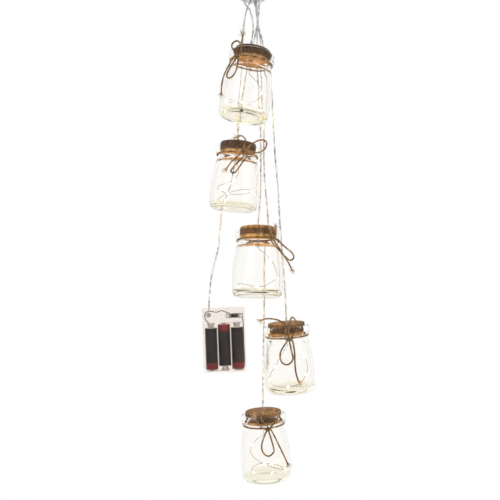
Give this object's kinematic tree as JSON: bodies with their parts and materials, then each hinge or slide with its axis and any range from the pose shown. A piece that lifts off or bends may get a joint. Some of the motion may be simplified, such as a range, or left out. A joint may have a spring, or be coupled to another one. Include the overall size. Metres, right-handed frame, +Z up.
{
  "type": "hanging jar lantern",
  "caption": "Hanging cluster of corked glass jars tied with twine bows and lit inside by copper wire lights, on clear cables with a clear battery box.",
  "frame": {"origin": "centre of the hanging eye's hole, at the top", "axes": "+Z up, the front with the bows and the switch faces -Y, +X to the right seen from the front"},
  "size_m": [0.1318, 0.1005, 0.5868],
  "materials": {
    "jar_glass": "clear pressed glass, thick at the lip and foot, faintly green at the edges",
    "cork": "natural cork, dark pores, open grain",
    "jute_twine": "twisted jute twine with loose fibres, frayed at its ends",
    "copper_wire": "thin lacquered copper wire",
    "light_bead": "clear resin drop over a small warm white light",
    "clear_cable": "clear two-core cable, softly shiny",
    "clear_sleeve": "clear shrink sleeve",
    "hanger_plastic": "milky clear moulded plastic",
    "circuit_board": "bare fibre board",
    "clear_case": "clear moulded plastic with a faint grey tint",
    "cell_jacket": "printed sleeve, near black with a plain dark red band",
    "contact_metal": "plated spring steel",
    "steel": "plated steel",
    "black_plastic": "black-brown moulded plastic",
    "black_wire": "insulated wire"
  },
  "bodies": {
    "hanger": {"hanger": "hanger_plastic", "hanger_plug": "hanger_plastic", "splice_board": "circuit_board", "battery_lead": "clear_cable", "jar_1_cable": "clear_cable", "jar_2_cable": "clear_cable", "jar_3_cable": "clear_cable", "jar_4_cable": "clear_cable", "jar_5_cable": "clear_cable"},
    "stopper_1": {"jar_1_cork": "cork", "jar_1_sleeve": "clear_sleeve", "jar_1_wire": "copper_wire", "jar_1_beads": "light_bead"},
    "jar_1": {"jar_1_glass": "jar_glass", "jar_1_twine": "jute_twine", "jar_1_bow": "jute_twine"},
    "stopper_2": {"jar_2_cork": "cork", "jar_2_sleeve": "clear_sleeve", "jar_2_wire": "copper_wire", "jar_2_beads": "light_bead"},
    "jar_2": {"jar_2_glass": "jar_glass", "jar_2_twine": "jute_twine", "jar_2_bow": "jute_twine"},
    "stopper_3": {"jar_3_cork": "cork", "jar_3_sleeve": "clear_sleeve", "jar_3_wire": "copper_wire", "jar_3_beads": "light_bead"},
    "jar_3": {"jar_3_glass": "jar_glass", "jar_3_twine": "jute_twine", "jar_3_bow": "jute_twine"},
    "stopper_4": {"jar_4_cork": "cork", "jar_4_sleeve": "clear_sleeve", "jar_4_wire": "copper_wire", "jar_4_beads": "light_bead"},
    "jar_4": {"jar_4_glass": "jar_glass", "jar_4_twine": "jute_twine", "jar_4_bow": "jute_twine"},
    "stopper_5": {"jar_5_cork": "cork", "jar_5_sleeve": "clear_sleeve", "jar_5_wire": "copper_wire", "jar_5_beads": "light_bead"},
    "jar_5": {"jar_5_glass": "jar_glass", "jar_5_twine": "jute_twine", "jar_5_bow": "jute_twine"},
    "battery_box": {"battery_case": "clear_case", "lead_tail": "clear_cable", "cell_1": "cell_jacket", "cell_2": "cell_jacket", "cell_3": "cell_jacket", "contact_plates": "contact_metal", "contact_springs": "contact_metal", "switch_plate": "steel", "switch_body": "black_plastic", "switch_pins": "contact_metal", "switch_screws": "steel", "minus_wire": "black_wire", "plus_wires": "black_wire"},
    "battery_cover": {"battery_cover": "clear_case", "cover_screw": "steel"},
    "switch_slider": {"switch_slider": "black_plastic"}
  },
  "joints": [
    {"name": "jar_1_swing", "type": "hinge", "parent": "hanger", "child": "stopper_1", "pos_m": [0, -0.02, -0.0895], "axis": [0, 1, 0], "range_deg": [-9, 10]},
    {"name": "jar_1_pull", "type": "slide", "parent": "stopper_1", "child": "jar_1", "axis": [-0.1478, 0, -0.989], "range_m": [0, 0.012]},
    {"name": "jar_2_swing", "type": "hinge", "parent": "hanger", "child": "stopper_2", "pos_m": [-0.017, 0.012, -0.188], "axis": [0, 1, 0], "range_deg": [-5, 8]},
    {"name": "jar_2_pull", "type": "slide", "parent": "stopper_2", "child": "jar_2", "axis": [-0.0785, 0, -0.9969], "range_m": [0, 0.012]},
    {"name": "jar_3_swing", "type": "hinge", "parent": "hanger", "child": "stopper_3", "pos_m": [0.006, -0.01, -0.29], "axis": [0, 1, 0], "range_deg": [-7, 10]},
    {"name": "jar_3_pull", "type": "slide", "parent": "stopper_3", "child": "jar_3", "axis": [-0.0174, -0.0958, -0.9952], "range_m": [0, 0.012]},
    {"name": "jar_4_swing", "type": "hinge", "parent": "hanger", "child": "stopper_4", "pos_m": [0.038, 0, -0.3975], "axis": [0, 1, 0], "range_deg": [-10, 3]},
    {"name": "jar_4_pull", "type": "slide", "parent": "stopper_4", "child": "jar_4", "axis": [0.0695, 0.0785, -0.9945], "range_m": [0, 0.012]},
    {"name": "jar_5_swing", "type": "hinge", "parent": "hanger", "child": "stopper_5", "pos_m": [0.0118, 0.018, -0.5007], "axis": [0, 1, 0], "range_deg": [-10, 10]},
    {"name": "jar_5_pull", "type": "slide", "parent": "stopper_5", "child": "jar_5", "axis": [0.061, 0.0523, -0.9968], "range_m": [0, 0.012]},
    {"name": "box_swing", "type": "hinge", "parent": "hanger", "child": "battery_box", "pos_m": [-0.052, 0.028, -0.381], "axis": [0, 1, 0], "range_deg": [-3, 6]},
    {"name": "cover_open", "type": "hinge", "parent": "battery_box", "child": "battery_cover", "pos_m": [-0.03236, 0.036, -0.4547], "axis": [-0.9993, 0, -0.0384], "range_deg": [0, 110]},
    {"name": "switch_slide", "type": "slide", "parent": "battery_box", "child": "switch_slider", "axis": [-0.9993, 0, -0.0384], "range_m": [0, 0.003]}
  ]
}
